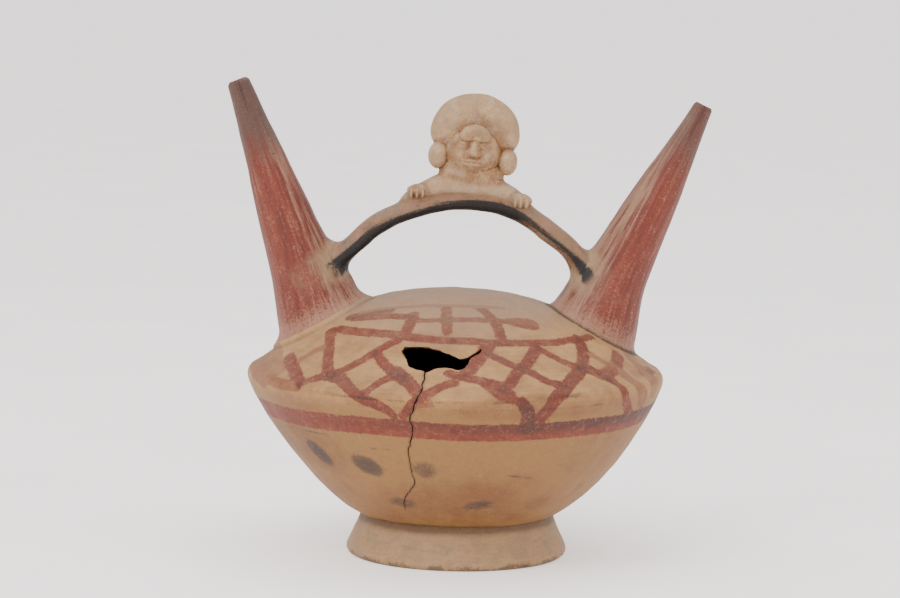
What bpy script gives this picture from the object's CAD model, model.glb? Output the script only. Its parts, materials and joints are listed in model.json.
"""Looks of a double spout vessel in slip-painted earthenware.

The vessel is one fired piece, so it is one skin: body, ring foot, spouts, bridge and bust are worked
out as surfaces, joined, smoothed where wet clay was smeared over the joints, and then hollowed,
broken and cracked. Lengths in the classes are millimetres, in a frame whose Z axis is the axis of the
foot and whose -Y side is the painted front.
"""

import json
import logging
import math
from dataclasses import dataclass, field
from enum import Enum
from typing import Dict, List, Sequence, Tuple, Union

import bpy
import numpy as np
from mathutils import Matrix, Vector


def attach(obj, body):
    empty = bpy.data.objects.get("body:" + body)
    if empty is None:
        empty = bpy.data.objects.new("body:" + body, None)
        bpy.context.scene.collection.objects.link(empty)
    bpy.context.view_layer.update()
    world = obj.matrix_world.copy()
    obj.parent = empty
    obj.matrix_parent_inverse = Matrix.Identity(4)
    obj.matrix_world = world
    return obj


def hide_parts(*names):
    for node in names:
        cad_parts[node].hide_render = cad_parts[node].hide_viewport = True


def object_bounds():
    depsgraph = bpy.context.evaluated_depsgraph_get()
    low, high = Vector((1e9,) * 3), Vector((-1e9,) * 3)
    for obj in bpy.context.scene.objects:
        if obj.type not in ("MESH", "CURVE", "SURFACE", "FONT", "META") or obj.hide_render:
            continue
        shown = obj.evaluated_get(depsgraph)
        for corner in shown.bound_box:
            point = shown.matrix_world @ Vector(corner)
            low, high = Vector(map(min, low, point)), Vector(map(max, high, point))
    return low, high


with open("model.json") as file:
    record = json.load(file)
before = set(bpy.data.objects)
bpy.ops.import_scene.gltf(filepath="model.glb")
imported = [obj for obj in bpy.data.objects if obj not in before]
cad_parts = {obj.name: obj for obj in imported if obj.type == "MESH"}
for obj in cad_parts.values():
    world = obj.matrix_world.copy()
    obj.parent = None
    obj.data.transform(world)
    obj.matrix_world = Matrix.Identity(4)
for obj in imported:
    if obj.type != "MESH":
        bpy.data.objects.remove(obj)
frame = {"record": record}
CAD_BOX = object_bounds()

MM = 0.001
AXIS_X = frame["record"]["mounts"][0]["pos_m"][0] / MM
SEED = 20
BATCH = 20000

Array = np.ndarray
Pair = Tuple[float, float]
Colour = Tuple[float, float, float, float]

log = logging.getLogger("vessel")


class Joining(Enum):
    """How one shape is worked into another."""

    ADD = "UNION"
    CUT = "DIFFERENCE"


class Side(Enum):
    """Which way a spout leans."""

    LEFT = -1
    RIGHT = 1


def smoothstep(x: Array, low: float, high: float) -> Array:
    """Rise from 0 at low to 1 at high as 3t squared less 2t cubed.

    Args:
        x: values to place between the two ends.
        low: where the rise begins.
        high: where it ends; below low it falls instead.

    Returns:
        The share for each value.
    """
    t = np.clip((x - low) / (high - low), 0.0, 1.0)
    return t * t * (3.0 - 2.0 * t)


def bezier(corners: Sequence[Pair], count: int) -> Array:
    """Cubic curve drawn by four corners, weighed by the third-degree Bernstein terms.

    Args:
        corners: the four control points.
        count: how many points to give back.

    Returns:
        Points along the curve, one a row.
    """
    t = np.linspace(0.0, 1.0, count)[:, None]
    a, b, c, d = (np.asarray(corner, float) for corner in corners)
    return (1 - t) ** 3 * a + 3 * (1 - t) ** 2 * t * b + 3 * (1 - t) * t**2 * c + t**3 * d


def spline(points: Sequence[Sequence[float]], steps: int) -> Array:
    """Smooth line through points: cubic pieces whose tangent at a point is the mean of its two
    chords, each weighed by the length of the other.

    Args:
        points: the points that it passes through.
        steps: how many steps to take between two of them.

    Returns:
        Points along the line, one a row.
    """
    p = np.asarray(points, float)
    gap = np.linalg.norm(np.diff(p, axis=0), axis=1)[:, None]
    slope = np.diff(p, axis=0) / gap
    inner = (slope[:-1] * gap[1:] + slope[1:] * gap[:-1]) / (gap[:-1] + gap[1:])
    tangent = np.vstack([slope[:1], inner, slope[-1:]])
    t = np.linspace(0.0, 1.0, steps, endpoint=False)[None, :, None]
    start = (2 * t**3 - 3 * t**2 + 1) * p[:-1, None] + (t**3 - 2 * t**2 + t) * (tangent[:-1] * gap)[:, None]
    stop = (3 * t**2 - 2 * t**3) * p[1:, None] + (t**3 - t**2) * (tangent[1:] * gap)[:, None]
    return np.vstack([(start + stop).reshape(-1, p.shape[1]), p[-1:]])


def divided(points: Array, spacing: float) -> Array:
    """Straight-sided line through points, walked in even steps.

    Args:
        points: the corners of the line.
        spacing: the length of a step.

    Returns:
        Points along the line, its two ends among them.
    """
    way = np.concatenate([[0.0], np.cumsum(np.linalg.norm(np.diff(points, axis=0), axis=1))])
    stops = np.linspace(0.0, way[-1], max(int(way[-1] / spacing), 2))
    return np.stack([np.interp(stops, way, column) for column in points.T], axis=1)


def unit(rows: Array) -> Array:
    """Scale each row to length 1."""
    return rows / np.linalg.norm(rows, axis=1)[:, None]


def full_turn(count: int) -> Array:
    """Divide a full turn into even steps, in radians."""
    return np.linspace(0, 2 * np.pi, count, endpoint=False)


def nearest_on(line: Array, places: Array) -> Array:
    """Find which of a line's points is nearest to each place, a batch of places at a time.

    Args:
        line: the line's points, one a row.
        places: places in the plane of the line.

    Returns:
        The number of the nearest point, for each place.
    """
    found = np.empty(len(places), int)
    for batch in np.array_split(np.arange(len(places)), max(len(places) // BATCH, 1)):
        found[batch] = ((places[batch, None] - line[None]) ** 2).sum(-1).argmin(1)
    return found


def ripple(points: Array, lengths: Pair, waves: int, seed: int) -> Array:
    """Gentle unevenness: a mean of sine waves that run in all directions.

    Args:
        points: places in millimetres, one a row.
        lengths: the shortest and the longest wave.
        waves: how many waves are added up.
        seed: which draw of directions and phases to take.

    Returns:
        A height for each place, mostly between -1 and 1.
    """
    draw = np.random.default_rng(seed)
    direction = unit(draw.normal(size=(waves, 3)))
    turns = 2 * np.pi / draw.uniform(*lengths, size=waves)
    phase = draw.uniform(0, 2 * np.pi, size=waves)
    return np.sin(points @ (direction * turns[:, None]).T + phase).sum(1) / math.sqrt(waves)


@dataclass
class Shape:
    """A closed skin of triangles.

    Attributes:
        points: corners, one a row, in millimetres.
        faces: three corner numbers a row, turning left when seen from outside.
    """

    points: Array
    faces: Array

    def normals(self) -> Array:
        """Give each point the mean of its faces' normals, weighed by their areas."""
        a, b, c = (self.points[self.faces[:, k]] for k in range(3))
        flat = np.cross(b - a, c - a)
        total = np.stack(
            [
                sum(np.bincount(self.faces[:, k], flat[:, axis], len(self.points)) for k in range(3))
                for axis in range(3)
            ],
            axis=1,
        )
        return total / np.maximum(np.linalg.norm(total, axis=1), 1e-9)[:, None]

    def neighbour_means(self, values: Array) -> Array:
        """Average a value per point over the points that share an edge with it.

        Args:
            values: one row for each point.

        Returns:
            The averages, one row for each point.
        """
        start = self.faces.ravel()
        stop = self.faces[:, [1, 2, 0]].ravel()
        count = np.maximum(np.bincount(start, minlength=len(self.points)), 1)
        columns = np.atleast_2d(values.T)
        sums = [np.bincount(start, column[stop], len(self.points)) / count for column in columns]
        return np.stack(sums, axis=1).reshape(values.shape)

    def relaxed(self, weight: Array, turns: int) -> "Shape":
        """Smooth the skin: each point moves towards the middle of its neighbours, over and over.

        Args:
            weight: how far each point goes in one turn, from 0 to 1.
            turns: how many turns.

        Returns:
            The smoothed shape.
        """
        points = self.points.copy()
        for _ in range(turns):
            points += weight[:, None] * (self.neighbour_means(points) - points)
        return Shape(points, self.faces)


def lofted(rings: Array) -> Shape:
    """Closed skin over rings of points: two triangles for each step along and around, and a fan from
    the middle of the first and of the last ring.

    Args:
        rings: points by ring and by place around it.

    Returns:
        The shape, turned the right way out.
    """
    rows, around, _ = rings.shape
    index = np.arange(rows * around).reshape(rows, around)
    after = np.roll(index, -1, axis=1)
    faces = [
        np.stack([index[:-1], after[:-1], after[1:]], -1).reshape(-1, 3),
        np.stack([index[:-1], after[1:], index[1:]], -1).reshape(-1, 3),
        np.stack([np.full(around, rows * around), after[0], index[0]], -1),
        np.stack([np.full(around, rows * around + 1), index[-1], after[-1]], -1),
    ]
    points = np.vstack([rings.reshape(-1, 3), rings[0].mean(0), rings[-1].mean(0)])
    corners = np.vstack(faces)
    a, b, c = (points[corners[:, k]] for k in range(3))
    inside_out = np.einsum("ij,ij->i", a, np.cross(b, c)).sum() < 0
    return Shape(points, corners[:, ::-1] if inside_out else corners)


def as_object(shape: Shape, name: str) -> bpy.types.Object:
    """Put a shape into the scene as an object at the origin.

    Args:
        shape: the skin to show.
        name: the name of the object and of its mesh.

    Returns:
        The new object.
    """
    mesh = bpy.data.meshes.new(name)
    mesh.from_pydata(shape.points.tolist(), [], shape.faces.tolist())
    made = bpy.data.objects.new(name, mesh)
    bpy.context.scene.collection.objects.link(made)
    return made


def worked(base: Shape, tools: Sequence[Shape], joining: Joining) -> Shape:
    """Add shapes to a base, or cut them out of it, one after another.

    Args:
        base: the shape that is worked on.
        tools: the shapes to add or cut out.
        joining: which of the two.

    Returns:
        The new shape.
    """
    host = as_object(base, "host")
    helpers = [as_object(tool, f"tool_{i}") for i, tool in enumerate(tools)]
    for helper in helpers:
        step = host.modifiers.new(helper.name, "BOOLEAN")
        step.solver = "MANIFOLD"
        step.operation = joining.value
        step.object = helper
    depsgraph = bpy.context.evaluated_depsgraph_get()
    mesh = bpy.data.meshes.new_from_object(host.evaluated_get(depsgraph))
    mesh.calc_loop_triangles()
    points = np.empty(len(mesh.vertices) * 3, np.float32)
    mesh.vertices.foreach_get("co", points)
    faces = np.empty(len(mesh.loop_triangles) * 3, np.int32)
    mesh.loop_triangles.foreach_get("vertices", faces)
    for spent in [host, *helpers]:
        bpy.data.meshes.remove(spent.data)
    bpy.data.meshes.remove(mesh)
    return Shape(points.reshape(-1, 3).astype(float), faces.reshape(-1, 3).astype(int))


@dataclass
class Body:
    """Hollow keeled body on a ring foot, turned from one profile that leans a little to the left.

    Attributes:
        ridge_radius, ridge_height: the keel.
        height: the top of the dome.
        lean: how far to the left the top stands.
        wall: the wall's thickness.
        neck_radius, neck_height: where bowl and foot meet.
        foot_radius, foot_wall: the foot's lowest edge, and how thick it is.
        recess: how far the hollow under the foot goes up.
        around: how many steps make a full turn.
        line: the outer profile, radius and height.
        way: how far along the profile each of its points is.
    """

    ridge_radius: float = 103.0
    ridge_height: float = 89.5
    height: float = 132.0
    lean: float = 4.0
    wall: float = 5.0
    neck_radius: float = 47.9
    neck_height: float = 20.5
    foot_radius: float = 54.6
    foot_wall: float = 8.5
    recess: float = 15.0
    around: int = 300
    line: Array = field(init=False)
    way: Array = field(init=False)

    def __post_init__(self) -> None:
        """Keep the outer profile, and how far along it each of its points is."""
        self.line = self.profile(spacing=0.4)
        gaps = np.linalg.norm(np.diff(self.line, axis=0), axis=1)
        self.way = np.concatenate([[0.0], np.cumsum(gaps)])

    def profile(self, spacing: float) -> Array:
        """Radius and height from the top of the dome to the foot's lowest edge: a cubic for the
        shoulder, one round the ridge, one for the bowl, one for the flare of the foot and one for
        its rounded edge.

        Args:
            spacing: about how far apart the points are.

        Returns:
            Points, a radius and a height each.
        """
        ridge, level, rise = self.ridge_radius, self.ridge_height, self.height - self.ridge_height
        drop, reach = level - self.neck_height, ridge - self.neck_radius
        brink, keel = (0.974 * ridge, level + 0.094 * rise), (ridge - 0.9, level - 3.4)
        neck, foot = (self.neck_radius, self.neck_height), self.foot_radius
        pieces = [
            [
                (0.0, self.height),
                (0.599 * ridge, self.height),
                (0.862 * ridge, level + 0.224 * rise),
                brink,
            ],
            [brink, (ridge - 0.3, level + 2.9), (ridge + 0.3, level), keel],
            [
                keel,
                (neck[0] + 0.8 * reach, neck[1] + 0.6 * drop),
                (neck[0] + 0.4 * reach, neck[1] + 0.15 * drop),
                neck,
            ],
            [neck, (foot - 5.4, 15.2), (foot - 2.4, 9.6), (foot - 0.3, 4.8)],
            [(foot - 0.3, 4.8), (foot + 0.5, 2.6), (foot - 0.2, 0.6), (foot - 2.2, 0.0)],
        ]
        curve = np.vstack([bezier(piece, 200)[:-1] for piece in pieces] + [[pieces[-1][-1]]])
        return divided(curve, spacing)

    def lean_at(self, height: Array) -> Array:
        """Give the X of the middle at a height; the lean grows with its square."""
        return -self.lean * (height / self.height) ** 2

    def turned(self, profile: Array, around: int) -> Shape:
        """Turn a profile about the leaning axis.

        Args:
            profile: radii and heights; its ends are closed on the axis.
            around: how many steps make a full turn.

        Returns:
            The closed shape.
        """
        angle = full_turn(around)[None, :]
        radius, height = profile[:, :1], profile[:, 1:]
        x = radius * np.sin(angle) + self.lean_at(height)
        return lofted(np.stack([x, -radius * np.cos(angle), height + 0 * angle], -1))

    def blank(self) -> Shape:
        """Make the body and foot as a full solid, hollow only under the foot."""
        rim = self.foot_radius - self.foot_wall
        under = [
            *bezier([(rim + 1.6, 0.0), (rim + 0.2, 0.1), (rim, 1.2), (rim - 1.0, 5.0)], 5),
            *bezier(
                [(rim - 1.6, 8.0), (rim - 3.0, 13.2), (0.7 * rim, self.recess), (0.5 * rim, self.recess)], 8
            ),
            (0.2 * rim, self.recess),
        ]
        outer = divided(self.line, 1.75)[1:]
        return self.turned(np.vstack([outer, under]), self.around)

    def hollow(self) -> Shape:
        """Make the inside: the outer profile moved in by the wall, down to a rounded floor."""
        tangent = unit(np.gradient(self.line, axis=0))
        inner = self.line + self.wall * np.stack([tangent[:, 1], -tangent[:, 0]], axis=1)
        inner = inner[(inner[:, 0] > 1.0) & (inner[:, 1] > self.recess + 2.2 * self.wall)]
        bottom = self.recess + self.wall
        end = inner[-1]
        floor = bezier([end, (0.8 * end[0], bottom + 1.5), (0.6 * end[0], bottom), (2.0, bottom)], 9)
        return self.turned(np.vstack([divided(inner, 3.0), floor[1:]]), 120)

    def locate(self, points: Array) -> Tuple[Array, Array, Array]:
        """Find where points are on the skin, from the nearest point of the profile.

        Args:
            points: places in millimetres.

        Returns:
            The way along the profile from the top, the angle round from the front, and the height
            off the surface, which is negative inside.
        """
        x = points[:, 0] - self.lean_at(points[:, 2])
        flat = np.stack([np.hypot(x, points[:, 1]), points[:, 2]], axis=1)
        nearest = nearest_on(self.line, flat)
        tangent = unit(np.gradient(self.line, axis=0)[nearest])
        offset = flat - self.line[nearest]
        along = np.einsum("ij,ij->i", offset, tangent)
        off = -offset[:, 0] * tangent[:, 1] + offset[:, 1] * tangent[:, 0]
        return self.way[nearest] + along, np.arctan2(x, -points[:, 1]), off

    def surface(self, way: Array, angle: Array) -> Tuple[Array, Array]:
        """Give the places on the skin at ways along the profile and angles round from the front.

        Args:
            way: distances from the top of the dome, along the profile.
            angle: angles round from the front, in radians.

        Returns:
            The places, and the outward normals there.
        """
        radius, height = (np.interp(way, self.way, self.line[:, k]) for k in range(2))
        tangent = [np.interp(way, self.way, np.gradient(self.line[:, k], self.way)) for k in range(2)]
        out, up = -tangent[1], tangent[0]
        x = radius * np.sin(angle) + self.lean_at(height)
        place = np.stack([x, -radius * np.cos(angle), height], axis=1)
        normal = np.stack([out * np.sin(angle), -out * np.cos(angle), up], axis=1)
        return place, unit(normal)


@dataclass
class Spout:
    """Long tapering spout. A fin of clay on its inner side carries the end of the bridge.

    Attributes:
        side: which way it leans.
        seat: how far from the vessel's axis it stands on the shoulder.
        tilt: degrees from upright.
        length: from the shoulder to the lip.
        tip_radius, taper: the radius at the lip, and what it gains for each millimetre down.
        bow: how far its root curves outwards.
        flare, flare_length, flare_depth: what the root gains in radius, over which stretch above
            the shoulder and below it.
        fin: the fin's edge, as heights above the root and reaches from the spout's middle.
        skirt, skirt_height: the clay smeared out over the shoulder, its width and its height.
        groove: how deep the line above the skirt is.
        body: what it stands on.
        tip_wall: the wall's thickness at the lip.
        fin_half, fin_square, fin_blend: the fin's half-thickness, how square its section is, and
            how tightly it joins the cone.
        root_depth: how far the solid goes on below the shoulder.
        lip_round: how much the lip is rounded.
        root, up, inward, tip: its root, its direction, the way to the vessel's middle, and its tip.
    """

    side: Side
    seat: float
    tilt: float
    length: float
    tip_radius: float
    taper: float
    bow: float
    flare: float
    fin: Sequence[Pair]
    skirt: float
    skirt_height: float
    groove: float
    body: Body
    tip_wall: float = 1.9
    flare_length: float = 34.0
    flare_depth: float = 10.0
    fin_half: float = 7.4
    fin_square: float = 2.6
    fin_blend: int = 9
    root_depth: float = 24.0
    lip_round: float = 0.9
    root: Array = field(init=False)
    up: Array = field(init=False)
    inward: Array = field(init=False)
    tip: Array = field(init=False)

    def __post_init__(self) -> None:
        """Work out where the spout stands and which way it points."""
        shoulder = self.body.line[: np.argmax(self.body.line[:, 0])]
        height = float(np.interp(self.seat, shoulder[:, 0], shoulder[:, 1]))
        tilt, way = math.radians(self.tilt), self.side.value
        self.root = np.array([way * self.seat + float(self.body.lean_at(height)), 0.0, height])
        self.up = np.array([way * math.sin(tilt), 0.0, math.cos(tilt)])
        self.inward = np.array([-way * math.cos(tilt), 0.0, math.sin(tilt)])
        self.tip = self.root + self.up * self.length

    def root_share(self, down: Array) -> Array:
        """Rise from 0 above the flared root to 1 under the shoulder, at distances from the tip."""
        return smoothstep(down, self.length - self.flare_length, self.length + self.flare_depth)

    def radius(self, down: Array, turn: Array) -> Array:
        """Radius at a distance from the tip and an angle from the inner side: a cone with a flared
        root, joined smoothly to a fin whose section is a flat oval.

        Args:
            down: distances from the tip.
            turn: angles round the spout, 0 on the inner side and positive towards the front.

        Returns:
            The radii.
        """
        cone = self.tip_radius + self.taper * down + self.flare * self.root_share(down)
        heights, reaches = np.array(self.fin).T
        reach = np.interp(self.length - down, heights, reaches, left=reaches[0], right=0.01)
        square, blend = self.fin_square, self.fin_blend
        oval = (np.abs(np.cos(turn)) / reach) ** square + (np.abs(np.sin(turn)) / self.fin_half) ** square
        fin = np.where(np.cos(turn) > 0, oval ** (-1 / square), 0.0)
        return (cone**blend + fin**blend) ** (1 / blend)

    def place(self, down: Array, turn: Array, radius: Array) -> Array:
        """Give the places at distances from the tip, angles from the inner side, and radii."""
        middle = self.tip - down[..., None] * self.up
        middle = middle - (self.bow * self.root_share(down))[..., None] * self.inward
        out = np.cos(turn)[..., None] * self.inward - np.sin(turn)[..., None] * np.array([0.0, 1.0, 0.0])
        return middle + radius[..., None] * out

    def blank(self) -> Shape:
        """Make the full cone. Its lip is rounded, and close to the shoulder it spreads into a skirt
        whose width grows with the square of how near it is."""
        lip, denser = [0.0, 0.25, 0.7, 1.3, 2.2], self.length - 26
        upper, lower = np.arange(3.6, denser, 2.0), np.arange(denser, self.length + self.root_depth, 1.25)
        down, turn = np.meshgrid(np.concatenate([lip, upper, lower]), full_turn(72), indexing="ij")
        radius = self.radius(down, turn) - self.lip_round * smoothstep(down, 1.4, -0.3)
        places = self.place(down, turn, radius)
        off = self.body.locate(places.reshape(-1, 3))[2].reshape(down.shape)
        near = np.clip(1 - off / self.skirt_height, 0.0, 1.0)
        groove = self.groove * np.exp(-(((off - 1.2) / 0.8) ** 2))
        spread = np.where(down > self.length / 2, self.skirt * near**2.2 - groove, 0.0)
        return lofted(self.place(down, turn, radius + spread))

    def bore(self) -> Shape:
        """Make the bore: the cone less a wall that thickens downwards, on into the body."""
        rows = np.concatenate([[-3.0, 0.0, 1.5], np.linspace(5, self.length + 14, 26)])
        down, turn = np.meshgrid(rows, full_turn(36), indexing="ij")
        share = np.clip(down / self.length, 0, 1)
        wall = self.tip_wall + (self.body.wall - self.tip_wall) * share
        cone = self.tip_radius + self.taper * np.maximum(down, 0) + self.flare * self.root_share(down)
        return lofted(self.place(down, turn, cone - wall))

    def locate(self, points: Array) -> Tuple[Array, Array, Array]:
        """Find where points are on the spout.

        Args:
            points: places in millimetres.

        Returns:
            The distance down from the tip, the angle from the inner side, and the distance off
            the surface, which is negative inside.
        """
        offset = points - self.tip
        down = -offset @ self.up
        inner = offset @ self.inward + self.bow * self.root_share(down)
        turn = np.arctan2(-offset[:, 1], inner)
        off = np.hypot(inner, offset[:, 1]) - self.radius(down, turn)
        ends = np.maximum(-down, down - self.length - self.root_depth)
        return down, turn, np.maximum(off, ends)


@dataclass
class Bridge:
    """Arched strap of clay between the spouts, a flat oval in section.

    Attributes:
        spouts: what it joins.
        rise: how far its crown stands over the dome.
        crown_x: where the crown is.
        thickness, depth: the section, up and from front to back.
        square: how square the section is.
        joints: how far up each spout it sets off.
        stripe_top: the stripe's upper edge, over the middle line.
        stripe_ends: how far from the strap's ends the stripe stops.
        haunches: for each side, points as shares of the way over and up to the crown.
        line, across, length: the middle line, its upward normals, and how long it is.
    """

    spouts: Tuple[Spout, Spout]
    rise: float = 44.2
    crown_x: float = 5.0
    thickness: float = 10.4
    depth: float = 17.0
    square: float = 3.2
    joints: Pair = (20.0, 16.0)
    stripe_top: float = 0.4
    stripe_ends: Pair = (13.0, 3.6)
    haunches: Sequence[Sequence[Pair]] = (
        ((0.256, 0.4), (0.376, 0.63), (0.61, 0.867)),
        ((0.237, 0.46), (0.435, 0.69), (0.68, 0.914)),
    )
    line: Array = field(init=False)
    across: Array = field(init=False)
    length: float = field(init=False)

    def __post_init__(self) -> None:
        """Lay the middle line from joint to joint over the crown, and keep its upward normals."""
        crown = np.array([self.crown_x, self.spouts[0].body.height + self.rise])
        halves = []
        for spout, joint, haunch in zip(self.spouts, self.joints, self.haunches):
            foot = (spout.root + joint * spout.up)[[0, 2]]
            halves.append([foot, *[foot + (crown - foot) * np.array(share) for share in haunch]])
        self.line = divided(spline([*halves[0], crown, *halves[1][::-1]], 24), 1.3)
        self.length = float(np.linalg.norm(np.diff(self.line, axis=0), axis=1).sum())
        tangent = unit(np.gradient(self.line, axis=0))
        self.across = np.stack([-tangent[:, 1], tangent[:, 0]], axis=1)

    def blank(self) -> Shape:
        """Carry the oval section along the middle line: the distances from its middle, each over
        its half-size and to the power of squareness, add up to one."""
        turn = full_turn(44)[None, :]
        power = 2 / self.square
        up = np.sign(np.sin(turn)) * np.abs(np.sin(turn)) ** power * self.thickness / 2
        front = np.sign(np.cos(turn)) * np.abs(np.cos(turn)) ** power * self.depth / 2
        x = self.line[:, :1] + self.across[:, :1] * up
        z = self.line[:, 1:] + self.across[:, 1:] * up
        return lofted(np.stack([x, front + 0 * x, z], -1))

    def locate(self, points: Array) -> Tuple[Array, Array, Array]:
        """Find where points are on the strap.

        Args:
            points: places in millimetres.

        Returns:
            The way along it from left to right, the height over its middle line, and about how far
            off the surface, negative inside.
        """
        flat = points[:, [0, 2]]
        nearest = nearest_on(self.line, flat)
        offset = flat - self.line[nearest]
        up = np.einsum("ij,ij->i", offset, self.across[nearest])
        past = np.abs(np.einsum("ij,ij->i", offset, self.across[nearest][:, ::-1] * [1, -1]))
        high, deep = np.abs(up) / (self.thickness / 2), np.abs(points[:, 1]) / (self.depth / 2)
        off = ((high**self.square + deep**self.square) ** (1 / self.square) - 1) * self.thickness / 2
        return nearest / (len(self.line) - 1), up, np.maximum(off, past)

    def stripe(self, share: Array, up: Array, y: Array) -> Array:
        """Lay the black stripe along the lower half of the strap. It runs out on the spouts, is
        narrow on the right limb and widens again where that meets the spout.

        Args:
            share: how far along the strap points are, from 0 to 1.
            up: their heights over its middle line.
            y: their places from front to back.

        Returns:
            How deep they are inside the stripe.
        """
        way = share * self.length
        edge = self.stripe_top + 0.8 * np.sin(way / 13.0) - 1.2 * (y > 3)
        ends = np.minimum(way - self.stripe_ends[0], self.length - self.stripe_ends[1] - way)
        root = smoothstep(share, 0.84, 0.95)
        lower = 8.0 - 5.2 * smoothstep(share, 0.64, 0.74) + 2.4 * root
        edge = edge + 0.9 * smoothstep(share, 0.7, 0.9) + 1.0 * root
        return np.minimum(np.minimum(edge - up, up + lower), 0.35 * ends)


@dataclass
class Bust:
    """Small bust with a half-moon headdress and ear spools, its arms lying over the bridge. The face
    is plain and even: brow, eyes, nose and mouth each have a level of their own, as shares of the
    head's height, and left and right are alike.

    Attributes:
        bridge: what it sits on.
        size: the height of the head, which all its other lengths are shares of.
        x, rise: where the chin is, across and over the crown of the bridge.
        roll: degrees by which it leans to the right.
        eye_level, eye_out: the eyes' height and how far out they are.
        nose_level, mouth_level, mouth_half: the nose's tip, the mouth and half its width.
        half_fan, half_cap: headdress and cap on the right, as angles from +X and radii.
        arm: the right arm as upright ovals: X, top, hem and half-depth.
    """

    bridge: Bridge
    size: float = 40.0
    x: float = 4.2
    roll: float = 4.8
    rise: float = 12.6
    eye_level: float = 0.375
    eye_out: float = 0.14
    nose_level: float = 0.29
    mouth_level: float = 0.16
    mouth_half: float = 0.125
    half_fan: Sequence[Pair] = (
        (-90, 0.2), (-62, 0.2), (-45, 0.27), (-33, 0.42), (-20, 0.52), (-8, 0.555), (10, 0.552),
        (40, 0.53), (65, 0.5), (90, 0.487),
    )
    half_cap: Sequence[Pair] = (
        (-90, 0.04), (-60, 0.046), (-30, 0.08), (-12, 0.16), (0, 0.185), (30, 0.185), (60, 0.175),
        (90, 0.17),
    )
    arm: Sequence[Tuple[float, float, float, float]] = (
        (0.3, 0.0, -0.35, 0.25), (0.45, -0.05, -0.38, 0.24), (0.57, -0.12, -0.42, 0.22),
        (0.7, -0.21, -0.48, 0.2), (0.82, -0.34, -0.54, 0.14), (0.89, -0.48, -0.6, 0.05),
    )

    def placed(self, shape: Shape) -> Shape:
        """Stand a shape, whose lengths are shares of the head's height, on the crown of the bridge.

        Args:
            shape: a part of the bust, with the chin at the origin.

        Returns:
            The part in its place, rolled to the right with the rest of the bust.
        """
        turn = math.radians(self.roll)
        x, y, z = (shape.points * self.size).T
        crown = self.bridge.spouts[0].body.height + self.bridge.rise
        right = x * math.cos(turn) + z * math.sin(turn) + self.x
        up = z * math.cos(turn) - x * math.sin(turn) + crown + self.rise
        return Shape(np.stack([right, y, up], axis=1), shape.faces)

    @staticmethod
    def ball(middle: Sequence[float], halves: Sequence[float], rows: int, dimple: float = 0.0) -> Shape:
        """Make an ellipsoid, with a round dimple in its front if one is asked for.

        Args:
            middle: its centre.
            halves: its half-sizes along X, Y and Z.
            rows: how many rings it has; each has twice as many points.
            dimple: how deep the dimple is, as a share of the half-size along Y.

        Returns:
            The ellipsoid.
        """
        levels = np.linspace(0, np.pi, rows + 2)[1:-1]
        tall, turn = np.meshgrid(levels, full_turn(2 * rows), indexing="ij")
        unit = np.stack([np.sin(tall) * np.cos(turn), np.sin(tall) * np.sin(turn), np.cos(tall)], -1)
        middle_of_front = np.exp(-((unit[..., 0] ** 2 + unit[..., 2] ** 2) / 0.12))
        unit[..., 1] += dimple * middle_of_front * (unit[..., 1] < 0)
        return lofted(unit * np.array(halves) + np.array(middle))

    @staticmethod
    def strip(rows: Sequence[Sequence[float]], around: int = 40) -> Shape:
        """Make a part from upright ovals that follow one another from left to right, smoothly.

        Args:
            rows: X, top, hem and half-depth of the ovals.
            around: how many points an oval has.

        Returns:
            The part.
        """
        x, top, hem, half = spline(rows, 8).T[:, :, None]
        turn = full_turn(around)[None, :]
        up = (top + hem) / 2 + (top - hem) / 2 * np.sign(np.sin(turn)) * np.abs(np.sin(turn)) ** 0.8
        front = half * np.sign(np.cos(turn)) * np.abs(np.cos(turn)) ** 0.8
        return lofted(np.stack([x + 0 * turn, front, up], -1))

    @staticmethod
    def pillow(
        half_outline: Sequence[Pair], middle: Pair, depth: float, half: float, around: int = 120
    ) -> Shape:
        """Make an upright slab with round edges, the same on the left as on the right. Its outline
        is a radius by angle, and half its thickness at a share s of that radius is the
        half-thickness times the root of one less s to the third power.

        Args:
            half_outline: angles from +X in degrees, rising from -90 to 90, and radii there.
            middle: X and Z of the place that the radii start from.
            depth: Y of its middle plane.
            half: half its thickness in the middle.
            around: how many points a ring has.

        Returns:
            The slab.
        """
        mirrored = [(180 - angle, radius) for angle, radius in half_outline[-2::-1]]
        angles, radii = spline([*half_outline, *mirrored], 12).T
        turn = np.linspace(-90, 270, around, endpoint=False)
        reach = np.interp(turn, angles, radii)[None, :]
        share = np.sin(np.linspace(0, np.pi / 2, 16))[1:, None]
        face = half * np.sqrt(1 - np.minimum(share, 1.0) ** 3) + 0.002
        turn = np.radians(turn)[None, :]
        x = middle[0] + share * reach * np.cos(turn)
        z = middle[1] + share * reach * np.sin(turn)
        front = np.stack([x, depth - face + 0 * x, z], -1)
        back = np.stack([x, depth + face + 0 * x, z], -1)[::-1]
        return lofted(np.vstack([front, back]))

    def head(self) -> Shape:
        """Make the head: an ellipsoid whose front is raised and sunk by bell curves for the brow,
        nose, cheeks, lips and chin, and for the hollows of the eyes."""
        ball = self.ball([0, 0, 0.27], [0.36, 0.3, 0.34], 64)
        x, y, z = ball.points.T
        facing = smoothstep(-y, 0.02, 0.16)

        def bell(out: float, level: float, width: float, height: float) -> Array:
            """Bell curve over the front, the same on both sides of the middle."""
            return np.exp(-(((np.abs(x) - out) / width) ** 2) - ((z - level) / height) ** 2)

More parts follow.
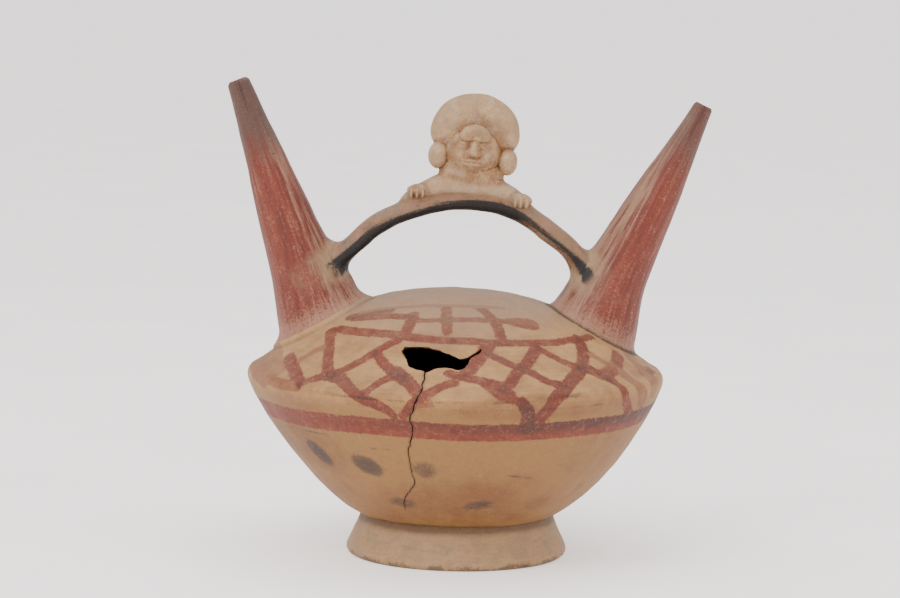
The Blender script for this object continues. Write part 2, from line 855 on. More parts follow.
        nose_width = 0.026 + 0.03 * smoothstep(z, self.eye_level + 0.05, self.nose_level - 0.04)
        ridge = smoothstep(z, self.nose_level - 0.07, self.nose_level - 0.02)
        ridge = ridge * smoothstep(z, self.eye_level + 0.12, self.nose_level)
        nose = 0.085 * np.exp(-((x / nose_width) ** 2)) * ridge
        eyes = 0.022 * bell(self.eye_out, self.eye_level, 0.055, 0.03)
        lids = 0.014 * bell(self.eye_out, self.eye_level - 0.004, 0.05, 0.006)
        sockets = 0.03 * bell(self.eye_out, self.eye_level, 0.085, 0.055)
        brow = 0.02 * bell(self.eye_out, self.eye_level + 0.085, 0.13, 0.028)
        cheeks = 0.024 * bell(0.19, self.nose_level - 0.05, 0.075, 0.075)
        out, over = x / self.mouth_half, z - self.mouth_level
        lips = 0.032 * np.exp(-(out**4)) * np.exp(-((over / 0.042) ** 2))
        part = 0.03 * np.exp(-(out**6)) * np.exp(-((over / 0.009) ** 2))
        chin = 0.02 * bell(0.0, 0.045, 0.09, 0.05)
        ball.points[:, 1] -= facing * (nose + eyes + brow + cheeks + lips + chin - lids - sockets - part)
        return ball

    def parts(self) -> List[Shape]:
        """Make every part of the bust in its place.

        Returns:
            Head, headdress, cap, ears, neck and chest, arms and hands.
        """
        left_arm = [(-x, *rest) for x, *rest in self.arm[::-1]]
        cape = [*left_arm, (0.0, 0.02, -0.32, 0.26), *self.arm]
        made = [
            self.head(),
            self.pillow(self.half_fan, (0.0, 0.515), 0.03, 0.155),
            self.pillow(self.half_cap, (0.0, 0.46), -0.2, 0.09, 72),
            self.strip(cape),
            self.ball([0, -0.01, -0.02], [0.41, 0.235, 0.3], 30),
        ]
        for side in (-1, 1):
            made.append(self.ball([side * 0.43, -0.03, 0.2], [0.13, 0.165, 0.17], 22, dimple=0.15))
            made.append(self.ball([side * 0.62, -0.17, -0.25], [0.16, 0.1, 0.095], 20))
            for finger in range(3):
                out = side * (0.57 + 0.07 * finger)
                made.append(self.ball([out, -0.245, -0.28], [0.026, 0.05, 0.07], 10))
        return [self.placed(part) for part in made]


@dataclass
class Breakage:
    """What happened to the vessel in the ground: a hole through the shoulder, a crack that runs down
    from it, and chips out of the foot and the lips.

    Attributes:
        body, spouts: what is broken.
        arc, radius: the hole's middle, in degrees round from the front and from the axis.
        undercut: how far the hole's top edge slopes in, for each millimetre of depth.
        hole_length: the hole's length, which its outline is in shares of.
        crack_widths: the crack's width at its top and at its end.
        outline: the hole's edge, to the right and down the shoulder.
        crack: the crack's line, as ways along the profile and degrees round from the front.
        lip_chips: angles round a lip and sizes.
        chips: angles round the foot and sizes.
    """

    body: Body
    spouts: Tuple[Spout, Spout]
    arc: float = -5.0
    radius: float = 81.6
    undercut: float = 0.9
    hole_length: float = 38.3
    crack_widths: Pair = (0.75, 0.32)
    outline: Sequence[Pair] = (
        (-0.491, -0.144), (-0.462, -0.214), (-0.35, -0.235), (-0.17, -0.222), (0.018, -0.157),
        (0.183, -0.073), (0.264, -0.031), (0.334, -0.052), (0.431, -0.157), (0.509, -0.24),
        (0.509, -0.183), (0.449, -0.094), (0.373, -0.026), (0.358, 0.057), (0.316, 0.144),
        (0.253, 0.183), (0.089, 0.151), (-0.008, 0.162), (-0.133, 0.248), (-0.193, 0.214),
        (-0.345, 0.157), (-0.415, 0.013), (-0.491, -0.144),
    )
    crack: Sequence[Pair] = (
        (95.0, -9.0), (101.0, -8.8), (105.5, -9.2), (109.8, -9.2), (114.5, -10.2), (117.2, -10.8),
        (121.2, -11.8), (124.5, -12.5), (128.2, -12.0), (131.8, -12.2), (136.0, -13.0),
        (140.0, -13.8), (143.5, -14.5), (149.8, -14.8), (153.0, -14.8), (158.8, -14.8),
        (164.5, -14.5), (169.8, -17.2), (175.2, -20.0), (180.5, -22.0), (186.2, -22.8),
    )
    lip_chips: Sequence[Tuple[float, float]] = ((180.0, 1.9), (120.0, 1.1), (-150.0, 1.2))
    chips: Sequence[Tuple[float, float]] = (
        (76.0, 5.0), (38.0, 3.4), (-60.0, 2.2), (58.0, 2.0), (205.0, 4.0),
    )

    def hole(self) -> Shape:
        """Carry the ragged outline through the wall, square to the shoulder but undercut at the top.
        Each ring is shaken by a little noise, so the broken wall is rough."""
        shoulder = self.body.line[: np.argmax(self.body.line[:, 0])]
        height = float(np.interp(self.radius, shoulder[:, 0], shoulder[:, 1]))
        ahead = float(np.interp(self.radius + 1, shoulder[:, 0], shoulder[:, 1]))
        slope, turn = math.atan(height - ahead), math.radians(self.arc)
        along = np.array([math.cos(turn), math.sin(turn), 0.0])
        out = np.array([math.sin(turn), -math.cos(turn), 0.0])
        down = out * math.cos(slope) - np.array([0, 0, math.sin(slope)])
        normal = out * math.sin(slope) + np.array([0, 0, math.cos(slope)])
        middle = out * self.radius + np.array([float(self.body.lean_at(height)), 0.0, height])
        edge = divided(np.array(self.outline), 0.034)[:-1] * self.hole_length
        levels = np.array([9.0, 4.0, 1.5, 0.0, -1.2, -2.5, -4.0, -6.0, -9.0])[:, None, None]
        sunk = self.undercut * np.minimum(levels, 0) * smoothstep(edge[None, :, 1:], 2.0, -2.0)
        rings = middle + edge[None, :, :1] * along + (edge[None, :, 1:] + sunk) * down + levels * normal
        flat = rings.reshape(-1, 3)
        for axis, way in enumerate((along, down)):
            shake = ripple(flat, (2.2, 7.0), 24, SEED + axis).reshape(rings.shape[:2])
            rings = rings + 0.32 * shake[..., None] * way
        return lofted(rings)

    def crack_line(self) -> Tuple[Array, Array]:
        """Give the crack's way along the profile and its angle in radians, with small kinks."""
        points = divided(np.array(self.crack) * [1.0, 1.5], 1.6) / [1.0, 1.5]
        draw = np.random.default_rng(SEED)
        kinks = draw.uniform(-0.22, 0.22, len(points))
        return points[:, 0], np.radians(points[:, 1] + kinks)

    def slit(self) -> Shape:
        """Carry a thin upright section along the crack, right through the wall. It narrows
        downwards."""
        way, angle = self.crack_line()
        place, normal = self.body.surface(way, angle)
        tangent = np.gradient(place, axis=0)
        side = unit(np.cross(normal, tangent))
        share = np.linspace(0, 1, len(place))
        draw = np.random.default_rng(SEED + 1)
        width = np.interp(share, [0, 1], self.crack_widths) * draw.uniform(0.7, 1.25, len(place))
        corners = [(-0.5, 3.0), (0.5, 3.0), (0.5, 0.0), (0.4, -8.0), (-0.4, -8.0), (-0.5, 0.0)]
        rings = [place + side * (width * across)[:, None] + normal * off for across, off in corners]
        return lofted(np.stack(rings, axis=1))

    def bites(self) -> List[Shape]:
        """Make a rough ball for each chip on the foot's lower edge and on the lips."""
        made = []
        for spout in self.spouts:
            for turn, size in self.lip_chips:
                down, around = np.array([-0.35 * size]), np.array([math.radians(turn)])
                middle = spout.place(down, around, np.array([spout.tip_radius + 0.3]))[0]
                made.append(Bust.ball(middle, [size] * 3, 12))
        for number, (arc, size) in enumerate(self.chips):
            turn = math.radians(arc)
            out = self.body.foot_radius + 0.42 * size
            ball = Bust.ball([out * math.sin(turn), -out * math.cos(turn), -0.3 * size], [size] * 3, 14)
            shake = ripple(ball.points, (3.0, 9.0), 12, SEED + 10 + number)
            ball.points += 0.1 * size * ball.normals() * shake[:, None]
            made.append(ball)
        return made


@dataclass(frozen=True)
class Stroke:
    """One stroke of the brush.

    Attributes:
        points: its middle line on the plan of the shoulder, right and towards the front, each as a
            distance measured along the surface from the top of the dome.
        width: its width where it starts.
        end: its width where it ends.
        tone: how well it covers, from 0 to 1.
        dark: how far it goes from brick red to purple brown, from 0 to 1.
    """

    points: Sequence[Pair]
    width: float
    end: float
    tone: float = 0.85
    dark: float = 0.2


@dataclass(frozen=True)
class Blot:
    """A soft oval stain.

    Attributes:
        way: the distance of its middle from the top of the dome, along the surface.
        arc: degrees round from the front.
        across: half its length.
        down: half its width.
        tilt: degrees by which its right end is lower.
        strength: how dark it is; at 1 its middle is fully stained.
    """

    way: float
    arc: float
    across: float
    down: float
    tilt: float
    strength: float


@dataclass
class PaintedPattern:
    """Red-brown slip over cream: a lattice on the shoulder with strokes above it, a band below the
    ridge, stains on the bowl and scratches.

    Attributes:
        body: what is painted.
        strokes: the brush strokes of the lattice, later ones over earlier ones.
        blots: dark stains.
        toasted: where the fire browned the clay.
        scratches: lines of ways along the profile and degrees round from the front.
        band_way, band_half: the band's middle, along the profile, and half its width.
        band_passes: the brush's two passes along the band: how far below its middle, and half the
            width of each.
    """

    body: Body
    strokes: Sequence[Stroke] = (
        Stroke(
            (
                (-58.6, 40.5), (-49.7, 50.2), (-40, 57.8), (-30.3, 63), (-23.4, 67.2), (-14.4, 70.3),
                (-5.4, 72), (0, 72.3),
            ),
            6.5, 6.2, 0.9,
        ),
        Stroke(((-62.1, 38.5), (-64.2, 59.2), (-65.6, 70.3), (-64.9, 79.3)), 6.5, 6.5, 0.85),
        Stroke(
            ((-64.9, 79.3), (-54.5, 78.6), (-44.1, 75.8), (-35.8, 72.3), (-27.5, 68.9)),
            5.5, 5.5, 0.85,
        ),
        Stroke(
            (
                (-64.9, 79.3), (-60, 84.1), (-55.9, 92.4), (-53.1, 98.6), (-48.3, 104.8),
                (-40.7, 111.1), (-35.8, 116.6),
            ),
            7.8, 5, 0.9, 0.35,
        ),
        Stroke(
            ((-39.3, 74.4), (-37.2, 81.3), (-33.1, 88.9), (-28.9, 95.8), (-23.4, 100.7), (-20.6, 106.2)),
            5, 7.5, 0.85,
        ),
        Stroke(((-46.2, 101.4), (-40.7, 97.9), (-33.1, 94.5)), 5, 5, 0.8),
        Stroke(((-30, 92), (-25, 99)), 8, 8, 0.75, 0.4),
        Stroke(((-19.2, 111.8), (-11.6, 108.3), (-6.1, 104.8), (0, 102.8)), 6, 5, 0.75),
        Stroke(((-22, 114.5), (-12.3, 115.2)), 3, 3, 0.45),
        Stroke(((-30.3, 119.4), (-22, 113.1)), 5, 5, 0.8),
        Stroke(((-48.3, 35.7), (-40, 40.5), (-30.3, 44), (-22, 48.1)), 7, 7, 0.9, 0.3),
        Stroke(((-50, 32), (-41, 34), (-31, 36)), 8.5, 6, 0.85, 0.45),
        Stroke(((-19.2, 45.4), (-20.6, 52.3), (-23.4, 62.7)), 6, 6, 0.85),
        Stroke(
            ((-22, 52.3), (-9.5, 53.7), (0, 53), (10.4, 51.6), (19.4, 50.2), (29.8, 48.1)),
            4.5, 5.5, 0.85,
        ),
        Stroke(((29.8, 48.1), (37, 46.5)), 9, 12, 0.8, 0.1),
        Stroke(((-3.3, 40.5), (-3.3, 64.7)), 5.5, 5.5, 0.85),
        Stroke(((13.9, 38.5), (19.4, 48.8), (22.2, 57.8), (23.5, 66.1)), 6, 6, 0.85, 0.3),
        Stroke(((-46, 30), (-30, 33.5), (-12, 36), (10, 36), (24, 34)), 5, 4, 0.4),
        Stroke(
            (
                (0, 72.3), (10.4, 71.6), (20.8, 71), (31.1, 67.5), (41.5, 62.7), (50.5, 57.1),
                (57.4, 49.5), (65, 40.5), (69.8, 31.5),
            ),
            6.2, 4.5, 0.8,
        ),
        Stroke(
            (
                (62.9, 41.9), (65, 50.9), (65.7, 61.3), (65, 70.3), (62.9, 76.5), (58.8, 86.2),
                (56, 93.8), (51.9, 102.1), (49.8, 109.7), (47.7, 116.6),
            ),
            6.6, 7.6, 0.85, 0.35,
        ),
        Stroke(((65, 70.3), (55.3, 71), (45, 68.2), (40.8, 66.8)), 5, 5, 0.8),
        Stroke(((65.7, 68.9), (76, 68.2), (83.2, 66.1)), 5.5, 5.5, 0.7),
        Stroke(
            ((41.5, 67.5), (38.7, 75.8), (36, 83.4), (31.1, 91.7), (27.7, 100), (24.2, 105.5)),
            6.2, 6.2, 0.85, 0.3,
        ),
        Stroke(
            ((56.7, 88.9), (47.7, 91), (39.4, 88.2), (29.8, 86.2), (20.8, 82.7), (16.6, 80.6)),
            5.2, 5.2, 0.85, 0.3,
        ),
        Stroke(((17.3, 73.7), (13.2, 83.4), (8.4, 92.4), (4.9, 97.2)), 7.2, 7, 0.9, 0.2),
        Stroke(
            ((-3.4, 96.5), (3.5, 98.6), (13.9, 100.7), (24.2, 103.5), (27.7, 106.9)),
            5, 6.5, 0.85, 0.25,
        ),
        Stroke(((16, 104.1), (22.9, 109), (29.8, 109)), 5, 5, 0.7, 0.3),
        Stroke(((35.3, 109.7), (43.6, 116.6)), 6.5, 6.5, 0.8, 0.6),
        Stroke(((40, 112), (43.5, 119)), 6, 12, 0.85, 0.5),
        Stroke(((-87, 40.5), (-84, 58.9), (-81.7, 75.7)), 7, 7, 0.8),
        Stroke(((-83.3, 52), (-66.4, 52)), 5, 5, 0.45),
        Stroke(((-81.7, 75.7), (-69.5, 77.2), (-64.1, 78.8)), 6, 6, 0.75),
        Stroke(((-105, 6), (-104, 28), (-101, 48)), 13, 12, 0.42),
        Stroke(((-96, 12), (-94, 34), (-92, 52)), 9, 7, 0.35),
        Stroke(((-101, 48), (-92, 66), (-83, 76)), 6, 6, 0.5),
        Stroke(((88, 14), (97, 26), (108, 38)), 11, 13, 0.34),
        Stroke(((84, 50), (96, 56), (108, 54)), 8, 10, 0.4),
        Stroke(((85.1, 32.9), (83.6, 51.2), (77.5, 66.5)), 7, 7, 0.7),
        Stroke(((68.3, 53), (79, 53)), 5, 5, 0.45),
        Stroke(((71.3, 66.5), (83.6, 68.1), (94.3, 71.1), (106.5, 68)), 6, 6.5, 0.75, 0.3),
        Stroke(((106.5, 68), (112, 66)), 6.5, 6.5, 0.85, 0.4),
        Stroke(((105, 17.6), (100.4, 36)), 6, 6, 0.7),
    )
    blots: Sequence[Blot] = (
        Blot(150.6, -49.6, 8.4, 5.0, 50.0, 1.25),
        Blot(154.8, -30.2, 8.2, 5.8, 24.0, 1.05),
        Blot(155.0, -10.4, 7.2, 6.0, 10.0, 0.6),
        Blot(180.2, -22.5, 7.4, 4.0, 8.0, 0.7),
        Blot(180.6, 9.0, 8.2, 4.2, -12.0, 0.72),
        Blot(176.5, -52.0, 6.0, 3.4, 20.0, 0.35),
        Blot(172.0, 55.0, 6.0, 3.0, -20.0, 0.28),
        Blot(216.0, -27.0, 4.5, 3.0, 0.0, 0.4),
        Blot(160.0, 150.0, 7.0, 4.2, 30.0, 0.7),
        Blot(166.0, 196.0, 7.4, 4.0, -20.0, 0.6),
    )
    toasted: Sequence[Blot] = (
        Blot(180.0, 4.0, 44.0, 20.0, -4.0, 0.75),
        Blot(181.2, 34.0, 10.0, 6.0, -10.0, 0.8),
        Blot(146.0, 52.0, 30.0, 20.0, 0.0, 0.4),
        Blot(172.0, -60.0, 26.0, 14.0, 20.0, 0.35),
        Blot(147.0, -58.0, 34.0, 17.0, 0.0, 0.85),
        Blot(117.0, 24.0, 62.0, 7.0, 0.0, 0.6),
        Blot(104.0, 62.0, 16.0, 14.0, 0.0, 0.55),
        Blot(121.0, -52.0, 22.0, 6.0, 0.0, 0.5),
        Blot(170.0, 170.0, 34.0, 20.0, 0.0, 0.7),
    )
    scratches: Sequence[Sequence[Pair]] = (
        ((113.6, -42.0), (114.6, -27.0), (115.2, -13.0)),
        ((115.0, -5.0), (114.8, 8.0), (114.0, 22.0), (113.0, 36.0)),
        ((111.6, 14.0), (112.6, 26.0), (111.8, 38.0)),
        ((118.8, -30.0), (119.2, -8.0), (119.0, 16.0), (118.6, 44.0)),
        ((137.2, -62.0), (137.8, -48.0), (138.6, -40.0)),
        ((143.0, -27.0), (143.2, -20.5)),
        ((158.0, 16.0), (160.0, 24.0), (161.5, 29.0)),
        ((150.0, -14.0), (151.2, -19.0)),
    )
    band_way: float = 130.2
    band_half: float = 4.6
    band_passes: Tuple[Pair, Pair] = ((-2.6, 2.5), (2.4, 2.3))

    def plan(self, way: Array, angle: Array) -> Array:
        """Lay the skin out flat as seen from above: the way from the top, at its angle. The back
        wears the front's strokes turned half round.

        Args:
            way: distances from the top of the dome, along the profile.
            angle: angles round from the front, in radians.

        Returns:
            Distances to the right and to the front.
        """
        flat = np.stack([way * np.sin(angle), way * np.cos(angle)], axis=1)
        return np.where(flat[:, 1:] < 0, -flat, flat)

    @staticmethod
    def from_line(points: Array, line: Array, widths: Array) -> Array:
        """Measure how deep points lie inside a line of changing width.

        Args:
            points: places on the plan.
            line: the middle line, as a row of points.
            widths: the width at each of its points.

        Returns:
            Half the width less the distance, at the best segment for each point.
        """
        best = np.full(len(points), -99.0)
        close = np.flatnonzero(
            np.all((points > line.min(0) - 16) & (points < line.max(0) + 16), axis=1)
        )
        near = points[close]
        for start, stop, first, last in zip(line[:-1], line[1:], widths[:-1], widths[1:]):
            chord = stop - start
            share = np.clip((near - start) @ chord / (chord @ chord), 0, 1)
            gap = np.linalg.norm(near - start - share[:, None] * chord, axis=1)
            best[close] = np.maximum(best[close], (first + (last - first) * share) / 2 - gap)
        return best

    def slip(self, way: Array, angle: Array) -> Dict[str, Array]:
        """Paint the body.

        Args:
            way: distances from the top of the dome, along the profile.
            angle: angles round from the front, in radians.

        Returns:
            For each point, how deep it is inside the nearest stroke, how well that covers, how dark
            it is, and how many coats lie there.
        """
        flat = self.plan(way, angle)
        depth, tone = np.full(len(way), -12.0), np.zeros(len(way))
        dark, coats = np.zeros(len(way)), np.zeros(len(way))
        for stroke in self.strokes:
            line = spline(stroke.points, 3)
            widths = np.linspace(stroke.width, stroke.end, len(line))
            inside = self.from_line(flat, line, widths)
            tone = np.where(inside > depth, stroke.tone, tone)
            dark = np.where(inside > depth, stroke.dark, dark)
            depth = np.maximum(depth, inside)
            coats += stroke.tone * smoothstep(inside, -0.4, 0.8)
        right = np.clip(np.sin(angle), -1, 1)
        middle = self.band_way + 0.6 * np.cos(angle)
        middle = middle + 0.5 * np.sin(3 * angle) + 0.35 * np.sin(7 * angle + 1.0)
        passes = np.maximum(*[half - np.abs(way - middle - off) for off, half in self.band_passes])
        band = np.maximum(passes, self.band_half - np.abs(way - middle))
        tone = np.where(band > depth, 1.0, tone)
        purple = np.clip(0.5 + 0.4 * right, 0.1, 0.8) * smoothstep(-(way - middle), -3.0, 1.5)
        dark = np.where(band > depth, purple, dark)
        coats += smoothstep(passes, -0.8, 0.6)
        return {"slip": np.maximum(depth, band), "tone": tone, "dark": dark, "coats": coats}

    def stained(self, blots: Sequence[Blot], way: Array, angle: Array) -> Array:
        """Lay soft ovals on the skin: a blot fades with the distance from its middle, measured in
        its own half-sizes.

        Args:
            blots: the ovals.
            way: distances from the top of the dome, along the profile.
            angle: angles round from the front, in radians.

        Returns:
            The strongest blot's strength at each point.
        """
        radius = np.interp(way, self.body.way, self.body.line[:, 0])
        found = np.zeros(len(way))
        for blot in blots:
            round_to = np.angle(np.exp(1j * (angle - math.radians(blot.arc))))
            across, down = radius * round_to, way - blot.way
            tilt = math.radians(blot.tilt)
            long = (across * math.cos(tilt) + down * math.sin(tilt)) / blot.across
            short = (down * math.cos(tilt) - across * math.sin(tilt)) / blot.down
            found = np.maximum(found, blot.strength * smoothstep(np.hypot(long, short), 1.6, 0.4))
        return found

    def scratched(self, way: Array, angle: Array, breakage: Breakage) -> Dict[str, Array]:
        """Measure how far points are from the scratches and from the crack.

        Args:
            way: distances from the top of the dome, along the profile.
            angle: angles round from the front, in radians.
            breakage: what holds the crack.

        Returns:
            Distances in millimetres, both at most 9.
        """
        flat = np.stack([way * np.sin(angle), way * np.cos(angle)], axis=1)
        scuff = np.full(len(way), -9.0)
        for scratch in self.scratches:
            line = spline(scratch, 4)
            turn = np.radians(line[:, 1])
            places = np.stack([line[:, 0] * np.sin(turn), line[:, 0] * np.cos(turn)], axis=1)
            scuff = np.maximum(scuff, self.from_line(flat, places, np.zeros(len(line))))
        crack_way, crack_angle = breakage.crack_line()
        crack = np.stack([crack_way * np.sin(crack_angle), crack_way * np.cos(crack_angle)], axis=1)
        gap = self.from_line(flat, crack, np.zeros(len(crack)))
        return {"scuff": np.clip(-scuff, 0, 9), "crack": np.clip(-gap, 0, 9)}


class Board:
    """The nodes of one material, and the one way that they are made."""

    def __init__(self, name: str) -> None:
        """Start an empty material.

        Args:
            name: the material's name.
        """
        self.material = bpy.data.materials.new(name)
        self.material.use_nodes = True
        self.tree = self.material.node_tree
        self.tree.nodes.clear()

    def node(self, kind: str, settings: Dict, inputs: Dict, output: Union[int, str] = 0) -> "Shade":
        """Make a node.

        Args:
            kind: the node's type.
            settings: its properties, set before its sockets are filled.
            inputs: by socket name or number, a value or a link.
            output: which of its outputs is wanted.

        Returns:
            That output.
        """
        made = self.tree.nodes.new(kind)
        for key, value in settings.items():
            setattr(made, key, value)
        for key, value in inputs.items():
            if isinstance(value, Shade):
                self.tree.links.new(value.socket, made.inputs[key])
            else:
                made.inputs[key].default_value = value
        return Shade(self, made.outputs[output])

    def attribute(self, name: str) -> "Shade":
        """Read a number that the mesh holds at each point."""
        return self.node("ShaderNodeAttribute", {"attribute_name": name}, {}, "Fac")

    def vector(self, name: str) -> "Shade":
        """Read a vector that the mesh holds at each point."""
        return self.node("ShaderNodeAttribute", {"attribute_name": name}, {}, "Vector")

    def noise(self, place: "Shade", scale: float, detail: float = 2.0, rough: float = 0.5) -> "Shade":
        """Cloudy noise around 0.5.

        Args:
            place: where to read it.
            scale: how many clouds there are to a unit of length.
            detail: how many finer layers are added.
            rough: how strong each finer layer is.

        Returns:
            The noise.
        """
        inputs = {"Vector": place, "Scale": scale, "Detail": detail, "Roughness": rough}
        return self.node("ShaderNodeTexNoise", {}, inputs, 0)

    def mix(
        self,
        share: Union["Shade", float],
        first: Union["Shade", Colour],
        second: Union["Shade", Colour],
    ) -> "Shade":
        """Mix two colours.

        Args:
            share: how much of the second there is, from 0 to 1.
            first: the colour at 0.
            second: the colour at 1.

        Returns:
            The mixed colour.
        """
        return self.node("ShaderNodeMix", {"data_type": "RGBA"}, {0: share, 6: first, 7: second}, 2)

    def surfaced(self, inputs: Dict) -> bpy.types.Material:
        """Finish the material with one Principled surface.

        Args:
            inputs: that surface's sockets by name, each a value or a link.

        Returns:
            The material.
        """
        surface = self.node("ShaderNodeBsdfPrincipled", {}, inputs)
        out = self.tree.nodes.new("ShaderNodeOutputMaterial")
        self.tree.links.new(surface.socket, out.inputs["Surface"])
        return self.material


class Shade:
    """A socket that takes part in Python expressions. Each operator adds a Math node."""

    def __init__(self, board: Board, socket: bpy.types.NodeSocket) -> None:
        """Hold a socket.

        Args:
            board: the nodes that it belongs to.
            socket: the output that it stands for.
        """
        self.board = board
        self.socket = socket

    def math(self, operation: str, *values: Union["Shade", float]) -> "Shade":
        """Add a Math node that works on these values."""
        return self.board.node("ShaderNodeMath", {"operation": operation}, dict(enumerate(values)))

    def __add__(self, other: Union["Shade", float]) -> "Shade":
        """Add."""
        return self.math("ADD", self, other)

    def __radd__(self, other: float) -> "Shade":
        """Add to a number."""
        return self.math("ADD", other, self)

    def __sub__(self, other: Union["Shade", float]) -> "Shade":
        """Take away."""
        return self.math("SUBTRACT", self, other)

    def __rsub__(self, other: float) -> "Shade":
        """Take from a number."""
        return self.math("SUBTRACT", other, self)

    def __mul__(self, other: Union["Shade", float]) -> "Shade":
        """Multiply."""
        return self.math("MULTIPLY", self, other)

    def __rmul__(self, other: float) -> "Shade":
        """Multiply a number."""
        return self.math("MULTIPLY", other, self)

    def least(self, other: Union["Shade", float]) -> "Shade":
        """Take the smaller of the two."""
        return self.math("MINIMUM", self, other)

    def step(self, low: float, high: float) -> "Shade":
        """Rise smoothly from 0 at low to 1 at high, or fall where high is the lower."""
        settings = {"interpolation_type": "SMOOTHSTEP", "clamp": True}
        rises = float(low < high)
        inputs = {0: self, 1: min(low, high), 2: max(low, high), 3: 1.0 - rises, 4: rises}
        return self.board.node("ShaderNodeMapRange", settings, inputs)


def paint(red: int, green: int, blue: int) -> Colour:
    """Turn a colour of 0 to 255, as a screen shows it, into linear light.

    Args:
        red: its red.
        green: its green.
        blue: its blue.

    Returns:
        The same colour as a shader takes it.
    """
    parts = [channel / 255 for channel in (red, green, blue)]
    linear = [p / 12.92 if p <= 0.04045 else ((p + 0.055) / 1.055) ** 2.4 for p in parts]
    return (*linear, 1.0)


@dataclass(frozen=True)
class EarthenwareFinish:
    """Burnished cream slip with worn brick-red painting, dust, stains and broken clay.

    Attributes:
        cream, tan, sand, toast: the slip on the shoulder, where it is thin, on the bowl, and
            browned by the fire.
        bloom: the palest specks.
        buff, ash, drab: the bust's slip, the foot's, and the bridge's.
        dust: what lies on the dome.
        brick, ember, purple, rose: the red slip, where it is thin, where it is thick, and rubbed.
        smoke, soot, ink: the spouts' tips, the stripe and the blots.
        clay, shadow: the broken wall, and dirt in cracks and hollows.
    """

    cream: Colour = paint(166, 126, 78)
    tan: Colour = paint(134, 92, 52)
    sand: Colour = paint(127, 93, 47)
    toast: Colour = paint(98, 54, 28)
    bloom: Colour = paint(196, 168, 132)
    buff: Colour = paint(168, 132, 94)
    ash: Colour = paint(144, 116, 84)
    drab: Colour = paint(114, 92, 72)
    ink: Colour = paint(52, 38, 32)
    dust: Colour = paint(142, 112, 88)
    brick: Colour = paint(90, 29, 16)
    ember: Colour = paint(114, 47, 26)
    purple: Colour = paint(54, 26, 23)
    rose: Colour = paint(148, 94, 73)
    smoke: Colour = paint(70, 54, 46)
    soot: Colour = paint(15, 12, 10)
    clay: Colour = paint(126, 90, 56)
    shadow: Colour = paint(34, 23, 17)

    def body_colour(self, b: Board, place: Shade, level: Shade) -> Shade:
        """Colour the body: dusty on the dome, cream on the shoulder, sand on the bowl, ash on the
        foot, then stains and the painted slip.

        Args:
            b: the nodes to add to.
            place: places in millimetres.
            level: heights in millimetres.

        Returns:
            The colour.
        """
        cloud = b.noise(place, 0.035, 3, 0.55)
        mottle = b.noise(place, 0.13, 4, 0.6)
        grit = b.noise(place, 0.9, 3, 0.65)
        wipe = b.noise(b.vector("turned"), 0.5, 4, 0.6)
        shoulder = b.mix((mottle * 0.5 + cloud * 0.6 + wipe * 0.3).step(0.5, 0.95), self.cream, self.tan)
        tanned = (b.attribute("toast") + (mottle - 0.5) * 0.4).step(0.1, 1.0)
        shoulder = b.mix(tanned * 0.4, shoulder, self.toast)
        bowl = b.mix((mottle * 0.45 + cloud * 0.6 + wipe * 0.4).step(0.5, 0.95), self.sand, self.tan)
        warm = (b.attribute("toast") * 0.9 + (mottle - 0.5) * 0.9 + (cloud - 0.5) * 0.9).step(0.0, 1.0)
        bowl = b.mix(warm * (grit * 0.5 + 0.45), bowl, self.toast)
        skin = b.mix((level + cloud * 8).step(86, 96), bowl, shoulder)
        foot = b.mix((mottle * 0.7 + wipe * 0.4).step(0.45, 0.68), self.ash, self.buff)
        skin = b.mix((level + mottle * 6).step(26, 18) * 0.88, skin, foot)
        skin = b.mix((wipe + (mottle - 0.5)).step(0.5, 0.8) * level.step(40, 16) * 0.35, skin, self.toast)
        top = (level + cloud * 16 - 8).step(110, 126)
        skin = b.mix(top * 0.8, skin, self.dust)
        speckle = (grit - 0.5) * 0.9 + (mottle - 0.5) * 0.6
        blot = (b.attribute("blot") + speckle).step(0.2, 0.75) * (b.attribute("blot") * 0.35 + 0.5)
        skin = b.mix(blot, skin, self.ink)
        return self.with_slip(b, skin, place, top, mottle, grit)

    def with_slip(
        self, b: Board, skin: Shade, place: Shade, top: Shade, mottle: Shade, grit: Shade
    ) -> Shade:
        """Lay the painted strokes over the skin.

        Args:
            b: the nodes to add to.
            skin: the colour below.
            place: places in millimetres.
            top: how dusty the dome is.
            mottle: coarse noise.
            grit: fine noise.

        Returns:
            The colour.
        """
        fray = (b.noise(place, 0.45, 3, 0.6) - 0.5) * 1.9 + (grit - 0.5) * 0.9
        inside = (b.attribute("slip") + fray).step(-0.5, 0.5)
        rub = b.noise(place, 0.22, 4, 0.7)
        speck = b.noise(place, 1.6, 2, 0.6)
        worn = (rub * 0.5 + speck * 0.5).step(0.5, 0.64) * 0.42
        cover = inside * (b.attribute("tone") * (1 - worn) * (1 - top * 0.35) * 1.3).least(0.97)
        red = b.mix((mottle * 0.5 + rub * 0.6).step(0.35, 0.75), self.brick, self.ember)
        crossed = b.attribute("coats").step(1.1, 1.9)
        deep = b.attribute("dark") * 0.95 + crossed * 0.35 + (mottle - 0.5) * 0.8
        red = b.mix(deep.step(0.05, 0.9) * 0.85, red, self.purple)
        bloom = (b.noise(place, 0.35, 3, 0.6) * 0.6 + speck * 0.4).step(0.52, 0.66)
        red = b.mix(bloom * 0.4, red, self.rose)
        return b.mix(cover, skin, red)

